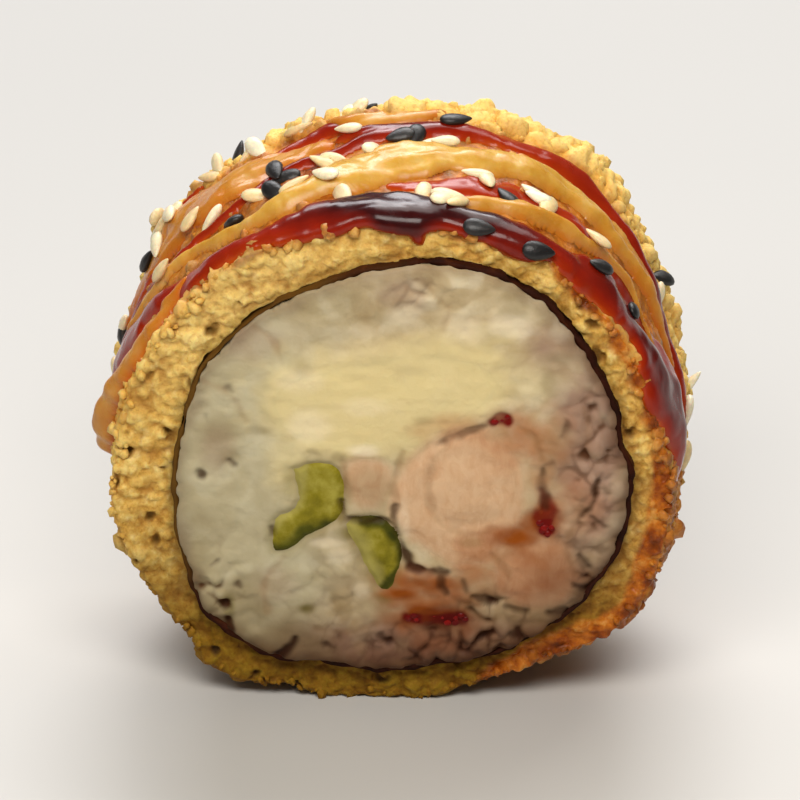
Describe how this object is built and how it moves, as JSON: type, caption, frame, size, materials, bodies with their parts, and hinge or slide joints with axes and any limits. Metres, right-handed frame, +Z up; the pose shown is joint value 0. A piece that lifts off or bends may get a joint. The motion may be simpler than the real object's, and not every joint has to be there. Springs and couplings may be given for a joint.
{
  "type": "shrimp tempura roll slice",
  "caption": "Round slice of fried sushi roll: lumpy crust, nori ring, packed rice, cream cheese, shrimp, cucumber and roe at both cut faces; stands on its edge.",
  "frame": {"origin": "bottom centre of the slice's box, in the middle of the flat spot that it rests on", "axes": "+X to the right across the shown cut face, +Y along the roll's axis from the shown cut to the other one, +Z up"},
  "size_m": [0.052, 0.0252, 0.0495],
  "materials": {
    "crust": "fried breadcrumb, rough and porous",
    "nori": "dry dark green seaweed sheet",
    "rice": "moist cooked grains",
    "cream_cheese": "soft and smeared, satin",
    "shrimp": "cooked, moist and slightly translucent",
    "cucumber": "wet cut flesh with dark green skin",
    "roe": "small glossy translucent beads",
    "dark_sauce": "thick glossy brown-red sauce",
    "mayo_sauce": "thick orange-yellow mayonnaise sauce",
    "sesame_white": "hulled sesame, satin",
    "sesame_black": "black sesame, satin"
  },
  "bodies": {
    "root": {"crust": "crust", "nori": "nori", "rice": "rice", "cream_cheese": "cream_cheese", "shrimp_large": "shrimp", "shrimp_small": "shrimp", "shrimp_lobe": "shrimp", "cucumber_upper": "cucumber", "cucumber_lower": "cucumber", "roe_lower": "roe", "roe_side": "roe"}
  },
  "joints": []
}
